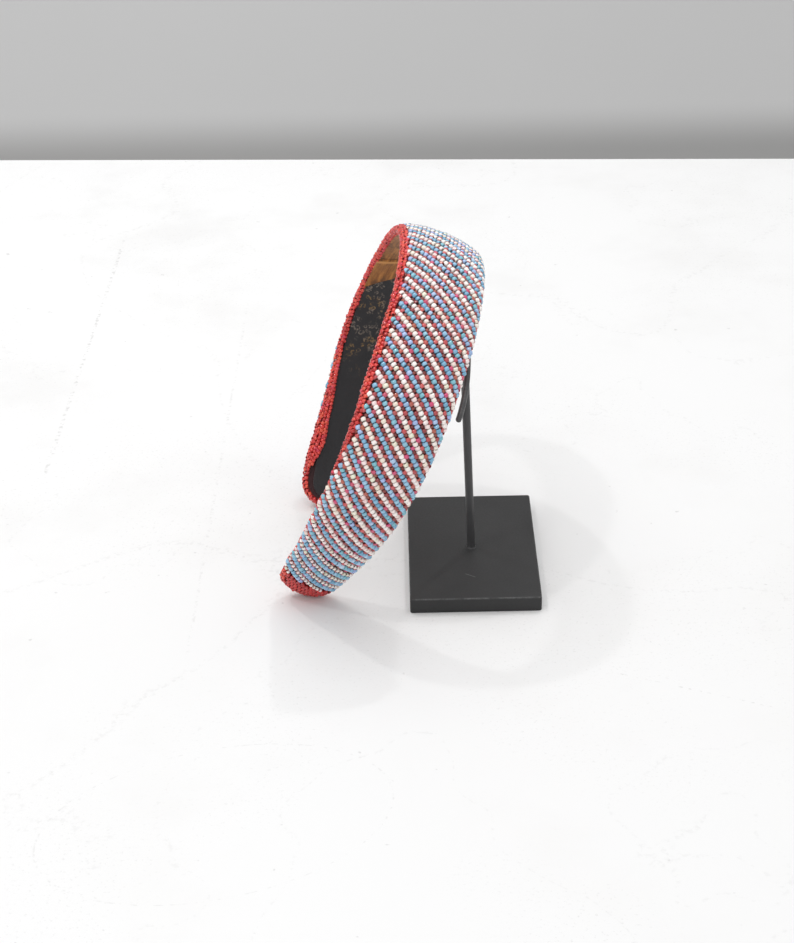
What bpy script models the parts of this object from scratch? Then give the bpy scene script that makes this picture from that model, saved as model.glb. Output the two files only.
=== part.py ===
"""Beaded headband leaning on its display stand, in metres, +Z up.

The origin is the centre of the base plate's underside, on the table. +X goes from the
headband's open front, where its two tips stand, to the post, and -Y is the near side.
"""

import math

import bmesh
import bpy
from mathutils import Matrix, Vector

MM = 0.001
GAP = 0.3 * MM  # between pieces that touch

# The base plate: a 2 x 3 inch piece of quarter-inch steel
PLATE_WIDTH = 50.8 * MM
PLATE_DEPTH = 76.2 * MM
PLATE_THICKNESS = 6.35 * MM
PLATE_CORNER = 1.0 * MM
PLATE_EDGE = 0.35 * MM

# The post: an eighth-inch rod, which leans a little towards the headband
POST_RADIUS = 1.5875 * MM
POST_FOOT_X = -0.4 * MM
POST_FOOT_Y = -1.2 * MM
WELD_RADIUS = 2.3 * MM
WELD_WAIST = 1.85 * MM
WELD_HEIGHT = 1.2 * MM

# The saddle: a rod bent to the crown's inside, whose ends pass behind the back edge
SADDLE_ROD_RADIUS = 1.1 * MM
SADDLE_DEPTH = 1.5 * MM  # from the lining's face to the middle of the rod
SADDLE_END_ANGLE = math.radians(61.5)
SADDLE_SETBACK = 9.9 * MM  # behind the band's centre line, at the crown
SADDLE_SWEEP = 11.0 * MM  # how much further back its ends lie
SADDLE_STATIONS = 15  # along each half of it
POST_MEETS_SADDLE = math.radians(-8.5)
POST_SIDES = 16

# The headband's centre line: a crown arc, then a straighter arc down each leg
CROWN_RADIUS = 60.7 * MM
CROWN_HALF_ANGLE = math.radians(111.6)
LEG_RADIUS = 353.0 * MM
LEG_ANGLE = math.radians(9.3)
TWIST = 2.6 * MM  # the far tip lies this far behind the middle, and the near tip before it

# How the headband stands: the point midway between the tips, and its three turns
TIPS_MIDDLE = (-63.6 * MM, 9.0 * MM, 3.65 * MM)
LEAN = math.radians(22.3)
TURN = math.radians(-1.6)
SIDE_TILT = math.radians(1.5)

# Widths, from the centre line to the middle of the rolled edge
HALF_WIDTH_CROWN = 15.9 * MM
HALF_WIDTH_TIP = 7.7 * MM
TAPER_POWER = 2.75
TIP_LENGTH = 9.0 * MM  # over which each end is rounded
TIP_SHARES = (0.35, 0.62, 0.82)  # where the rounded end has its sections
TIP_BLUNT = 0.97  # where a layer's blunt end is, as a share of the rounded end
TIP_BENDS = (22, 44, 65, 90, 115, 136, 158)  # degrees round the tip, for the rolled edge

# Thicknesses, measured outwards from the lining's face
PAD_CROWN = 6.8 * MM
PAD_TIP = 5.6 * MM
EDGE_THICKNESS = 4.0 * MM
EDGE_FALL = 0.97
ROLL_RADIUS = 2.1 * MM
BEAD_LAYER = 1.6 * MM
LINING = 1.0 * MM
LINING_INSET = ROLL_RADIUS + GAP / 2.0  # the lining's edge lies under the rolled edge's side

# The ochre cloth at the crown ends on a slant, where the black cloth of the legs begins
CROWN_CLOTH_REACH = 68.0 * MM  # along the centre line, from the crown
CROWN_CLOTH_SLANT = -1.07  # change of that reach for each unit towards the back edge
CLOTH_SEAM = 0.4 * MM  # between the two cloths, along the band

STATIONS = 29  # along each half of the band
CROWN_STATIONS = 14  # along each half of the crown's cloth
COLUMNS = 9
LINING_COLUMNS = 5

HALF_LENGTH = CROWN_RADIUS * CROWN_HALF_ANGLE + LEG_RADIUS * LEG_ANGLE
TIP_START = HALF_LENGTH - TIP_LENGTH


def clear_scene():
    for item in list(bpy.data.objects):
        bpy.data.objects.remove(item)


def part_collection():
    collection = bpy.data.collections.new("beaded_headband_on_stand")
    bpy.context.scene.collection.children.link(collection)
    return collection


def material(name, colour, roughness, metallic=0.0):
    made = bpy.data.materials.new(name)
    made.use_nodes = True
    shader = made.node_tree.nodes["Principled BSDF"]
    shader.inputs["Base Color"].default_value = (*colour, 1.0)
    shader.inputs["Roughness"].default_value = roughness
    shader.inputs["Metallic"].default_value = metallic
    return made


def angle_at(along):
    """The turn of the band's surface at a signed distance along its centre line."""
    distance = abs(along)
    crown = CROWN_RADIUS * CROWN_HALF_ANGLE
    if distance < crown:
        turn = distance / CROWN_RADIUS
    else:
        turn = CROWN_HALF_ANGLE + (distance - crown) / LEG_RADIUS
    return math.copysign(turn, along)


def centre_line(along):
    """Where the lining's face is on the centre line, in the headband's own YZ plane."""
    turn = abs(angle_at(along))
    crown_turn = min(turn, CROWN_HALF_ANGLE)
    last_turn = CROWN_HALF_ANGLE + LEG_ANGLE
    across = CROWN_RADIUS * math.sin(crown_turn)
    across += LEG_RADIUS * (math.sin(max(turn, CROWN_HALF_ANGLE)) - math.sin(CROWN_HALF_ANGLE))
    height = CROWN_RADIUS * (math.cos(crown_turn) - math.cos(CROWN_HALF_ANGLE))
    height += LEG_RADIUS * (math.cos(max(turn, CROWN_HALF_ANGLE)) - math.cos(last_turn))
    return math.copysign(across, along), height


def band_point(along, across, out):
    """A point by its distance along the band, across it towards the back, and outwards."""
    turn = angle_at(along)
    side, height = centre_line(along)
    back = across + TWIST * (along / HALF_LENGTH) ** 3
    return Vector((back, side + out * math.sin(turn), height + out * math.cos(turn)))


def taper(along):
    """Half the width between the rolled edges, before the ends are rounded."""
    share = abs(along) / HALF_LENGTH
    return HALF_WIDTH_TIP + (HALF_WIDTH_CROWN - HALF_WIDTH_TIP) * (1.0 - share**TAPER_POWER)


def rounding(along, inset=0.0):
    """How far the rounded end has drawn the width in: 1 along the band, 0 at its very end."""
    past = (abs(along) - TIP_START) / (TIP_LENGTH - inset)
    return math.sqrt(max(0.0, 1.0 - past * past)) if past > 0.0 else 1.0


def crest(along):
    """The thickness on the centre line, to the top of the beadwork."""
    share = abs(along) / HALF_LENGTH
    full = PAD_TIP + (PAD_CROWN - PAD_TIP) * (1.0 - share * share)
    return EDGE_THICKNESS + (full - EDGE_THICKNESS) * rounding(along)


def outer_height(along, across):
    """The height of the crowned outer face over the lining's face."""
    half = taper(along) * max(rounding(along), 0.05)
    share = min(abs(across) / half, 1.0) * EDGE_FALL
    middle = EDGE_THICKNESS / 2.0
    return middle + (crest(along) - middle) * math.sqrt(1.0 - share * share)


def straight_stations():
    return [TIP_START * step / STATIONS for step in range(-STATIONS, STATIONS + 1)]


def stations(inset):
    """Distances along the band for the sections of a layer, closer together at its ends."""
    length = TIP_LENGTH - inset
    ends = [TIP_START + length * share for share in (*TIP_SHARES, TIP_BLUNT)]
    return [-end for end in reversed(ends)] + straight_stations() + ends


def band_row(along, inset, columns):
    """Places across the band at one station, held in from the rolled edge's middle by inset."""
    half = (taper(along) - inset) * rounding(along, inset)
    return [(along, half * (2.0 * column / (columns - 1) - 1.0)) for column in range(columns)]


def layer(name, rows, low, high):
    """A closed wall lofted through rows of (along, across) places on the band.

    low and high give the heights of its two faces over the lining's face at a place.
    """
    mesh = bmesh.new()
    loops = []
    for row in rows:
        under = [mesh.verts.new(band_point(*place, low(*place))) for place in row]
        over = [mesh.verts.new(band_point(*place, high(*place))) for place in row]
        loops.append(under + over[::-1])
    around = len(loops[0])
    for first, second in zip(loops, loops[1:]):
        for side in range(around):
            after = (side + 1) % around
            mesh.faces.new((first[side], first[after], second[after], second[side]))
    for loop in (loops[0], loops[-1]):
        columns = around // 2
        for column in range(columns - 1):
            corner = around - 1 - column
            mesh.faces.new((loop[column], loop[column + 1], loop[corner - 1], loop[corner]))
    bmesh.ops.recalc_face_normals(mesh, faces=mesh.faces)
    data = bpy.data.meshes.new(name)
    mesh.to_mesh(data)
    mesh.free()
    return data


def add(collection, name, data, finish, frame=None, smooth_angle=40.0):
    data.materials.append(finish)
    item = bpy.data.objects.new(name, data)
    collection.objects.link(item)
    item.parent = frame
    if isinstance(data, bpy.types.Mesh):
        data.shade_smooth()
        data.set_sharp_from_angle(angle=math.radians(smooth_angle))
    return item


def headband_frame(collection):
    """The headband's own axes: X across it to the back, Y from near to far, Z to the crown."""
    frame = bpy.data.objects.new("headband_frame", None)
    turns = Matrix.Rotation(SIDE_TILT, 4, "X") @ Matrix.Rotation(TURN, 4, "Z")
    frame.matrix_world = Matrix.Translation(TIPS_MIDDLE) @ turns @ Matrix.Rotation(LEAN, 4, "Y")
    collection.objects.link(frame)
    return frame


def padded_core(collection, frame):
    """The stuffed crescent under the beadwork, in its black ground cloth."""
    inset = ROLL_RADIUS + GAP
    data = layer(
        "padded_core",
        [band_row(along, inset, COLUMNS) for along in stations(inset)],
        lambda along, across: LINING + GAP,
        lambda along, across: outer_height(along, across) - BEAD_LAYER - GAP,
    )
    add(collection, "padded_core", data, material("ground_cloth", (0.035, 0.020, 0.022), 0.95), frame)


def bead_face(collection, frame):
    """The beadwork that covers the outer face, as one wall as thick as its beads."""
    data = layer(
        "bead_face",
        [band_row(along, ROLL_RADIUS, COLUMNS) for along in stations(ROLL_RADIUS)],
        lambda along, across: outer_height(along, across) - BEAD_LAYER,
        outer_height,
    )
    add(collection, "bead_face", data, material("beadwork", (0.52, 0.50, 0.55), 0.35), frame)


def edge_trim(collection, frame):
    """The rolled edge, one closed loop along both edges and round both tips."""
    route = []
    for end in (1.0, -1.0):
        edge = -end
        route += [(end * along, edge * taper(along)) for along in straight_stations()]
        for bend in TIP_BENDS:
            turned = math.radians(bend)
            along = end * (TIP_START + TIP_LENGTH * math.sin(turned))
            route.append((along, edge * taper(along) * math.cos(turned)))
    points = [band_point(along, across, EDGE_THICKNESS / 2.0) for along, across in route]
    roll = rod("edge_trim", points, ROLL_RADIUS, closed=True)
    add(collection, "edge_trim", roll, material("red_edge_beads", (0.55, 0.035, 0.035), 0.35), frame)


def cloth_edge(across, side):
    """Where the crown's cloth ends on one side, for a distance across the band."""
    return side * (CROWN_CLOTH_REACH + CROWN_CLOTH_SLANT * across)


def leg_lining(collection, frame, name, side, finish):
    """The black cloth inside one leg, from its tip to the slanted edge of the crown's cloth."""
    legs = [along for along in stations(LINING_INSET) if along * side > CROWN_CLOTH_REACH + HALF_WIDTH_CROWN]
    legs.sort(key=abs)
    rows = []
    for share in (0.0, 0.34, 0.67):
        row = []
        for _, across in band_row(CROWN_CLOTH_REACH, LINING_INSET, LINING_COLUMNS):
            edge = cloth_edge(across, side) + side * CLOTH_SEAM
            row.append((edge + (legs[0] - edge) * share, across))
        rows.append(row)
    rows += [band_row(along, LINING_INSET, LINING_COLUMNS) for along in legs]
    data = layer(name, rows, lambda along, across: 0.0, lambda along, across: LINING)
    add(collection, name, data, finish, frame)


def crown_lining(collection, frame):
    """The ochre cloth inside the crown, whose two ends are cut on a slant."""
    rows = []
    for step in range(-CROWN_STATIONS, CROWN_STATIONS + 1):
        share = abs(step) / CROWN_STATIONS
        side = math.copysign(1.0, step)
        places = band_row(CROWN_CLOTH_REACH, LINING_INSET, LINING_COLUMNS)
        rows.append([(share * cloth_edge(across, side), across) for _, across in places])
    data = layer("crown_lining", rows, lambda along, across: 0.0, lambda along, across: LINING)
    add(collection, "crown_lining", data, material("ochre_cloth", (0.30, 0.17, 0.05), 0.9), frame)


def rounded_plate(collection, finish):
    mesh = bmesh.new()
    bmesh.ops.create_cube(mesh, size=1.0)
    bmesh.ops.scale(mesh, vec=(PLATE_WIDTH, PLATE_DEPTH, PLATE_THICKNESS), verts=mesh.verts)
    bmesh.ops.translate(mesh, vec=(0.0, 0.0, PLATE_THICKNESS / 2.0), verts=mesh.verts)
    upright = [edge for edge in mesh.edges if edge.verts[0].co.xy == edge.verts[1].co.xy]
    bmesh.ops.bevel(mesh, geom=upright, offset=PLATE_CORNER, segments=3, profile=0.5, affect="EDGES")
    data = bpy.data.meshes.new("base_plate")
    mesh.to_mesh(data)
    mesh.free()
    plate = add(collection, "base_plate", data, finish)
    edges = plate.modifiers.new("worn_edges", "BEVEL")
    edges.width = PLATE_EDGE
    edges.segments = 2
    edges.limit_method = "ANGLE"
    edges.angle_limit = math.radians(60.0)


def rod(name, points, radius, closed=False):
    """A round rod through points, with flat ends or closed on itself."""
    curve = bpy.data.curves.new(name, "CURVE")
    curve.dimensions = "3D"
    curve.bevel_depth = radius
    curve.bevel_resolution = 2
    curve.use_fill_caps = True
    spline = curve.splines.new("POLY")
    spline.points.add(len(points) - 1)
    for target, point in zip(spline.points, points):
        target.co = (*point, 1.0)
    spline.use_cyclic_u = closed
    return curve


def saddle_point(angle):
    """The middle of the saddle's rod at an angle from the crown, in the headband's axes."""
    sweep = math.sin(math.pi / 2.0 * angle / SADDLE_END_ANGLE) ** 2
    return band_point(CROWN_RADIUS * angle, SADDLE_SETBACK + SADDLE_SWEEP * sweep, -SADDLE_DEPTH)


def mesh_of_curve(item):
    """A curve object's evaluated mesh with its caps welded, placed as the curve was."""
    bpy.context.view_layer.update()
    evaluated = item.evaluated_get(bpy.context.evaluated_depsgraph_get())
    data = bpy.data.meshes.new_from_object(evaluated)
    mesh = bmesh.new()
    mesh.from_mesh(data)
    bmesh.ops.remove_doubles(mesh, verts=mesh.verts, dist=0.01 * MM)
    bmesh.ops.transform(mesh, matrix=item.matrix_world, verts=mesh.verts)
    mesh.to_mesh(data)
    mesh.free()
    bpy.data.objects.remove(item)
    return data


def post_and_saddle(collection, frame, finish):
    """The post with its weld at the foot, and the bent saddle rod soldered on its top."""
    route = []
    for step in range(-SADDLE_STATIONS, SADDLE_STATIONS + 1):
        route.append(saddle_point(SADDLE_END_ANGLE * step / SADDLE_STATIONS))
    saddle = bpy.data.objects.new("saddle_rod", rod("saddle_rod", route, SADDLE_ROD_RADIUS))
    collection.objects.link(saddle)
    saddle.parent = frame
    saddle_mesh = mesh_of_curve(saddle)

    foot = Vector((POST_FOOT_X, POST_FOOT_Y, PLATE_THICKNESS + GAP))
    head = frame.matrix_world @ saddle_point(POST_MEETS_SADDLE)
    length = (head - foot).length
    outline = (
        (0.0, length),
        (POST_RADIUS, length),
        (POST_RADIUS, WELD_HEIGHT),
        (WELD_WAIST, WELD_HEIGHT / 2.5),
        (WELD_RADIUS, 0.0),
        (0.0, 0.0),
    )
    profile = bmesh.new()
    points = [profile.verts.new((radius, 0.0, height)) for radius, height in outline]
    for first, second in zip(points, points[1:]):
        profile.edges.new((first, second))
    data = bpy.data.meshes.new("post_and_saddle")
    profile.to_mesh(data)
    profile.free()
    post = add(collection, "post_and_saddle", data, finish)
    upright = Vector((0.0, 0.0, 1.0)).rotation_difference(head - foot)
    post.matrix_world = Matrix.Translation(foot) @ upright.to_matrix().to_4x4()
    turned = post.modifiers.new("turned", "SCREW")
    turned.steps = POST_SIDES
    turned.render_steps = POST_SIDES
    turned.use_merge_vertices = True
    turned.merge_threshold = 0.0001

    saddle_mesh.materials.clear()
    saddle_mesh.materials.append(finish)
    joined = bpy.data.objects.new("saddle_joined", saddle_mesh)
    joined.hide_render = True
    joined.display_type = "WIRE"
    cutters = bpy.data.collections.new("joined_shapes")
    bpy.context.scene.collection.children.link(cutters)
    cutters.objects.link(joined)
    solder = post.modifiers.new("soldered", "BOOLEAN")
    solder.operation = "UNION"
    solder.object = joined


def main():
    clear_scene()
    collection = part_collection()
    frame = headband_frame(collection)
    bpy.context.view_layer.update()
    steel = material("black_painted_steel", (0.055, 0.055, 0.060), 0.5, 0.3)
    rounded_plate(collection, steel)
    post_and_saddle(collection, frame, steel)
    padded_core(collection, frame)
    bead_face(collection, frame)
    edge_trim(collection, frame)
    black_cloth = material("black_cloth", (0.018, 0.018, 0.022), 0.95)
    leg_lining(collection, frame, "near_leg_lining", -1.0, black_cloth)
    leg_lining(collection, frame, "far_leg_lining", 1.0, black_cloth)
    crown_lining(collection, frame)


main()
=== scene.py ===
"""Beaded headband on its display stand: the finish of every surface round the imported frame."""

import math
import random
from typing import NamedTuple

import bmesh
import bpy
from bpy.props import (
    FloatProperty,
    FloatVectorProperty,
    IntProperty,
    PointerProperty,
)
from bpy.types import Operator, Panel, PropertyGroup
from mathutils import Matrix, Quaternion, Vector, noise


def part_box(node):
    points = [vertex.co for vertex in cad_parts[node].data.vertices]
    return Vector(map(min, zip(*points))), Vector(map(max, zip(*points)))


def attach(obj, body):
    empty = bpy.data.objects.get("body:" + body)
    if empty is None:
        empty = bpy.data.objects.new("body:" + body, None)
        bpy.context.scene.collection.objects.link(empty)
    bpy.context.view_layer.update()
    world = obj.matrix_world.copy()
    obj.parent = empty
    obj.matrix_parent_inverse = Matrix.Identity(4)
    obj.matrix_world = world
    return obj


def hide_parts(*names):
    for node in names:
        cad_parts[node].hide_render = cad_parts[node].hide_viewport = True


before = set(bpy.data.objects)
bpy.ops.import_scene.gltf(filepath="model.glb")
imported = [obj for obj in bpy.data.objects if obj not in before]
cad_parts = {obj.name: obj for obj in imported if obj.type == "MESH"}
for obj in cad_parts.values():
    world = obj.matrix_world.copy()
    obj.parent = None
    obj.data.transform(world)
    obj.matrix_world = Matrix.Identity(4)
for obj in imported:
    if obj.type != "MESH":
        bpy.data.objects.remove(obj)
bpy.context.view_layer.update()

bl_info = {
    "name": "Beaded headband",
    "version": (1, 0, 0),
    "blender": (4, 5, 0),
    "location": "View3D > Sidebar > Headband",
    "description": "Strings the beads, sews the cloth and paints the stand of a beaded headband",
    "category": "Object",
}

MM = 0.001
BODY = "root"

# Tables read by between_marks: distance from the crown's top down a leg, in millimetres, and the
# value there, which is in millimetres too unless it is a slope. NEAR is the leg towards the camera
# and FAR the other.
NEAR, FAR = -1.0, 1.0
# How much narrower than the back the front half is.
FRONT_SET_IN = {
    NEAR: (
        (0, 2.1), (28, 2.0), (43, 1.0), (65, 0.6), (75, 1.0), (104, 1.0), (112, 0.5), (144, 0.3),
        (155, -0.8), (178, -0.8),
    ),
    FAR: (
        (0, 2.1), (63, 2.1), (84, 1.5), (95, 1.05), (112, 0.7), (131, 0.8), (150, 0.2), (157, -0.7),
        (178, -1.1),
    ),
}
# Where the edge's red beads begin, round the edge from its outermost line: minus is on the outer
# face, plus is on the lining's side. The back edge and the tips have one value each.
FRONT_TRIM = {
    NEAR: ((0, -3.4), (70, -3.4), (80, -2.6), (88, -1.6), (97, 0.1), (110, 0.5), (166, 0.5)),
    FAR: (
        (0, -3.4), (70, -3.4), (97, -0.8), (110, 0.4), (119, 1.2), (137, 1.2), (148, -1.0),
        (166, -1.0),
    ),
}
BACK_TRIM = 0.5
TIP_TRIM = -2.6
# How far the striped face stays clear of the trim.
TRIM_GAP = 0.3
# The white rows' numbers, counted from the top, and where each crosses the crest line.
WHITE_ROWS = (
    (0, 0.0), (4, 29.9), (8, 61.0), (12, 94.0), (14, 109.8), (16, 127.2), (18, 143.0), (19, 149.6),
    (21, 163.1), (25, 190.0),
)
# How far a row runs towards the near tip for each millimetre towards the back edge.
FRONT_SLOPE = (
    (0, 0.70), (17, 0.74), (33, 0.82), (56, 0.86), (73, 0.96), (89, 1.03), (122, 1.02), (131, 0.97),
    (138, 0.90), (152, 0.83), (178, 0.83),
)
BACK_SLOPE = (
    (0, 0.72), (20, 0.82), (50, 0.86), (72, 0.96), (90, 0.87), (103, 0.83), (115, 0.92), (124, 0.85),
    (132, 0.69), (141, 0.56), (150, 0.53), (178, 0.55),
)

# The rows follow each other in this order; there are so many each side of the middle one.
ROW_KINDS = ("white", "red", "blue", "red")
ROWS_A_SIDE = 96
# Face beads: the property that sizes them and the share of its radius taken, the hole's radius
# in millimetres, the steps round the hole, the sides of the spun loop, and the glass.
FACE_BEADS = {
    "white": ("bead", 1.0, 0.2, 12, 6, "pearly_white_glass"),
    "blue": ("bead", 0.98, 0.2, 12, 6, "sky_blue_glass"),
    "red": ("red", 1.0, 0.3, 10, 6, "translucent_red_glass"),
    "deep_red": ("red", 0.94, 0.3, 8, 5, "dull_red_glass"),
}
# How far the white and blue beads stand proud of the skin.
PROUD = 0.05 * MM
# Near the tips the rows crowd: from where, over what length, and how the bead sizes change.
CROWD_START, CROWD_LENGTH = 120.0 * MM, 25.0 * MM
CROWDED_WHITE, CROWDED_BLUE = -0.32, 0.06

# Kinds of glass: the property with its colour, roughness, coat, and stops over the beads' tints,
# each with the factors of that colour's three channels.
GLASS = {
    "pearly_white_glass": ("white", 0.16, 0.5, (
        (0.0, 0.93, 0.91, 0.80), (0.22, 1.0, 1.0, 1.0), (0.5, 1.05, 1.10, 1.12),
        (0.74, 1.0, 0.92, 0.95), (0.88, 0.94, 0.76, 0.80), (1.0, 0.86, 0.98, 0.80),
    )),
    "sky_blue_glass": ("blue", 0.16, 0.5, (
        (0.0, 0.62, 0.78, 0.80), (0.25, 1.0, 1.0, 1.0), (0.45, 1.45, 1.22, 1.15),
        (0.65, 0.80, 1.06, 0.84), (0.82, 1.60, 0.98, 1.16), (1.0, 2.0, 1.40, 1.25),
    )),
    "translucent_red_glass": ("face_red", 0.14, 0.7, (
        (0.0, 0.45, 0.45, 0.45), (0.3, 1.0, 1.0, 1.0), (0.55, 1.15, 1.5, 1.3),
        (0.75, 0.80, 1.6, 0.8), (1.0, 1.25, 0.9, 2.6),
    )),
    # Painted shade: the deep red beads, sunk between the others, take a darker copy of the face red.
    "dull_red_glass": ("face_red", 0.30, 0.2, (
        (0.0, 0.35, 0.6, 0.5), (0.5, 0.55, 1.1, 0.8), (1.0, 0.75, 1.9, 1.2),
    )),
    "opaque_red_glass": ("edge_red", 0.20, 0.4, (
        (0.0, 0.62, 0.7, 0.8), (0.3, 0.95, 1.0, 1.0), (0.6, 1.12, 1.9, 1.6),
        (0.85, 1.15, 3.0, 1.6), (1.0, 0.95, 1.1, 2.8),
    )),
}

# How far the lining's cloths run in under the rolled edge, and stop short of the padding.
CLOTH_TUCK, CLOTH_BACK = 0.3 * MM, 0.1 * MM
# The weld's outline at the post's foot, in millimetres out and up.
WELD = ((1.66, 0.45), (1.78, 0.22), (1.98, 0.06), (2.02, 0.0))
# Straight marks, in millimetres but for the last number: from, to, half width and strength. They
# are a scratch in the plate's paint and faint scuffs on the table.
PLATE_SCRATCH = ((-3.8, -20.5), (0.8, -23.5), 0.3, 0.7)
TABLE_SCUFFS = (
    ((-174.0, 343.0), (-183.0, 48.0), 1.3, 0.30),
    ((-103.0, 257.0), (-110.0, -91.0), 0.9, 0.14),
    ((44.0, -77.0), (109.0, -104.0), 0.5, 0.25),
)


def between_marks(marks, place):
    """Reads a value from marks joined by straight lines."""
    for (low, first), (high, second) in zip(marks, marks[1:]):
        if place <= high:
            share = max(place - low, 0.0) / (high - low)
            return first + (second - first) * share
    return marks[-1][1]


def down_leg(marks, along):
    """Reads a table of one leg or of both, at a place in metres along the band."""
    if isinstance(marks, dict):
        marks = marks[math.copysign(1.0, along)]
    return between_marks(marks, abs(along) / MM)


def clamp(value, low=0.0, high=1.0):
    return min(max(value, low), high)


def eased(share):
    """A share from 0 to 1 that starts and ends smoothly."""
    share = clamp(share)
    return share * (share * (3.0 - 2.0 * share))


def length(name, description, millimetres):
    """A length property, whose default is given in millimetres."""
    return FloatProperty(
        name=name, description=description, default=millimetres * MM, unit="LENGTH", precision=5
    )


def angle(name, description, degrees):
    return FloatProperty(
        name=name, description=description, default=math.radians(degrees), subtype="ANGLE"
    )


def colour(name, description, value):
    return FloatVectorProperty(
        name=name, description=description, default=value, size=3, min=0.0, max=1.0, subtype="COLOR"
    )


def number(name, description, value):
    return FloatProperty(name=name, description=description, default=value)


class BandShape(PropertyGroup):
    """The headband's own sizes, which are those of the frame's solids."""

    crown_radius: length("Crown radius", "Of the lining's face over the head", 60.7)
    crown_half_angle: angle("Crown half angle", "From the top to where a leg begins", 111.6)
    leg_radius: length("Leg radius", "Of the flatter arc down each leg", 353.0)
    leg_angle: angle("Leg angle", "Which that flatter arc turns through", 9.3)
    twist: length("Twist", "How far the far tip lies behind the middle", 2.6)
    tips_middle: FloatVectorProperty(
        name="Tips' middle",
        description="The point midway between the tips",
        default=(-63.6 * MM, 9.0 * MM, 3.65 * MM),
        subtype="TRANSLATION",
    )
    lean: angle("Lean", "How far the crown leans back onto the stand", 22.3)
    turn: angle("Turn", "About the upright axis", -1.6)
    side_tilt: angle("Side tilt", "Towards the far leg", 1.5)
    half_width_crown: length("Half width at the crown", "To the rolled edge's middle", 15.9)
    half_width_tip: length("Half width at the tips", "To the rolled edge's middle", 7.7)
    taper_power: number("Taper", "How late the legs narrow", 2.75)
    tip_length: length("Tip length", "Over which each end is rounded", 9.0)
    tip_square: number("Tip squareness", "2 rounds a tip as an ellipse, more makes it squarer", 2.5)
    pad_crown: length("Thickness at the crown", "Lining's face to bead tops", 6.8)
    pad_tip: length("Thickness at the tips", "Lining's face to bead tops", 5.6)
    edge_thickness: length("Thickness at the edge", "Under the roll", 4.0)
    roll_radius: length("Roll radius", "Of the beaded edge", 2.1)
    lining: length("Lining", "Depth of the lining's cloth", 1.0)


class Beadwork(PropertyGroup):
    """The beads and how they are strung."""

    row_start: length("Middle row", "Where the white row at the top crosses the crest line", -0.3)
    bead_pitch: length("Bead pitch", "Along a white or blue row", 1.86)
    bead_radius: length("Bead radius", "Of the white and blue beads", 1.1)
    bead_half: length("Half length", "Of the white and blue beads", 0.88)
    red_radius: length("Red bead radius", "Of the sunk beads between the rows", 1.02)
    red_half: length("Red half length", "Of the sunk beads between the rows", 0.92)
    red_sunk: length("Sunk", "How far the red beads lie under the others", 0.12)
    deep_sunk: length("Deep", "How far every second red bead lies under the others", 0.62)
    tip_sunk: length("Crowded", "How much deeper the red beads lie near the tips", 0.35)
    edge_pitch: length("Edge stitch", "From stitch to stitch along the rolled edge", 1.6)
    edge_radius: length("Edge bead radius", "Of the rolled edge's beads", 0.88)
    edge_half: length("Edge half length", "Of the rolled edge's beads", 0.80)
    edge_round: length("Edge spacing", "From bead to bead round the edge", 1.5)
    edge_slant: length("Edge slant", "How far each bead lies beyond the last along the edge", 0.75)
    cap_start: length("Cap", "Where the red caps of the tips begin", 165.3)
    cap_slant: number("Cap slant", "Change of that place across the band", 0.3)
    seed: IntProperty(name="Seed", description="Of the beads' small irregularities", default=11)
    white: colour("White", "Pearly white beads", (0.95, 0.86, 0.81))
    blue: colour("Blue", "Sky blue beads", (0.215, 0.455, 0.67))
    face_red: colour("Face red", "Translucent beads between the rows", (0.50, 0.055, 0.062))
    edge_red: colour("Edge red", "Opaque beads of the rolled edge", (0.66, 0.028, 0.026))


class Cloths(PropertyGroup):
    """The cloth inside the headband and under its beads."""

    crown_reach: length("Crown reach", "Half the length of the crown's cloth", 68.0)
    crown_slant: number("Crown slant", "Change of that reach across the band", -1.07)
    seam: length("Seam", "Between the two cloths", 0.4)
    fold: length("Fold", "Where the crown's cloth is folded over", 57.5)
    fold_slant: number("Fold slant", "Change of that place across the band", -0.55)
    fold_height: length("Fold height", "Of the layer that lies on the other", 0.55)
    ground: colour("Ground", "Cloth under the beads", (0.035, 0.013, 0.015))
    ochre: colour("Ochre", "Crown's cloth", (0.36, 0.15, 0.034))
    black: colour("Black", "Legs' cloth", (0.020, 0.020, 0.023))
    floret: colour("Floret", "Small faded flowers on the black", (0.30, 0.23, 0.17))


class Stand(PropertyGroup):
    """The stand's rod sizes and paint."""

    post_radius: length("Post radius", "An eighth-inch rod's", 1.5875)
    foot_x: length("Foot X", "Of the post on the plate", -0.4)
    foot_y: length("Foot Y", "Of the post on the plate", -1.2)
    saddle_radius: length("Saddle radius", "Of the bent rod", 1.1)
    saddle_depth: length("Saddle depth", "Inside the lining's face", 1.5)
    saddle_end: angle("Saddle end", "From the top, round the crown", 61.5)
    saddle_setback: length("Saddle setback", "Behind the band's centre line", 9.9)
    saddle_sweep: length("Saddle sweep", "How much further back its ends lie", 11.0)
    saddle_meets: angle("Post meets saddle", "From the top, round the crown", -8.5)
    paint: colour("Paint", "Matt black paint", (0.024, 0.024, 0.025))
    bare: colour("Bare metal", "Where the paint is rubbed", (0.14, 0.14, 0.14))


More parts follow.
